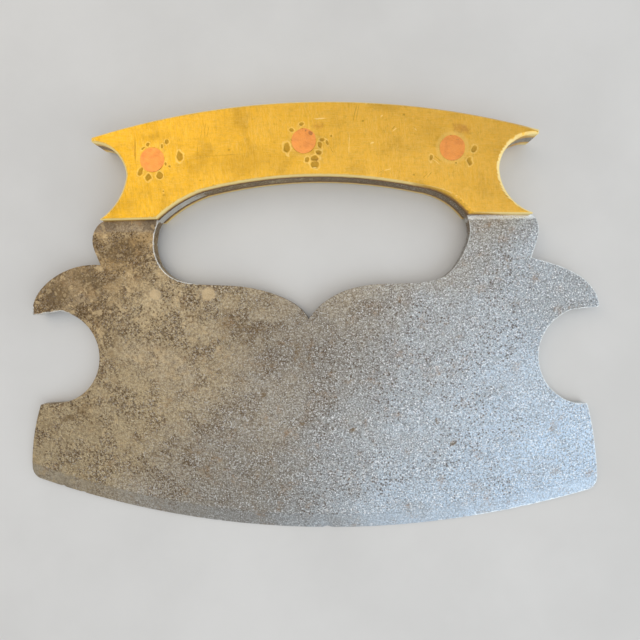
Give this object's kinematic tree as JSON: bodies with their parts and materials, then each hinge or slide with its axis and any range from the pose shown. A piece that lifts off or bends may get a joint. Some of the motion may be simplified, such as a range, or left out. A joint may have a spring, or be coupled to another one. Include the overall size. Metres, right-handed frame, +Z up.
{
  "type": "head knife",
  "caption": "Wide plate-bladed knife with an arched edge, hooked shoulders and a D-shaped hand opening under a riveted handle of metal scales.",
  "frame": {"origin": "under the middle of the outline, on the plane of the back scale's face that the knife lies on", "axes": "+X along the width of the blade, +Y from the cutting edge towards the handle, +Z up through the thickness, out of the front scale's face"},
  "size_m": [0.1915, 0.1412, 0.011],
  "materials": {
    "blade_steel": "old plate steel, finely pitted all over, with tan patina and rust-brown spots",
    "scale_brass": "hand-rubbed golden brass with fine scratches, hammer marks and light patina",
    "rivet_copper": "flush-filed copper"
  },
  "bodies": {
    "root": {"blade": "blade_steel", "front_scale": "scale_brass", "back_scale": "scale_brass", "rivet_left": "rivet_copper", "rivet_middle": "rivet_copper", "rivet_right": "rivet_copper"}
  },
  "joints": []
}
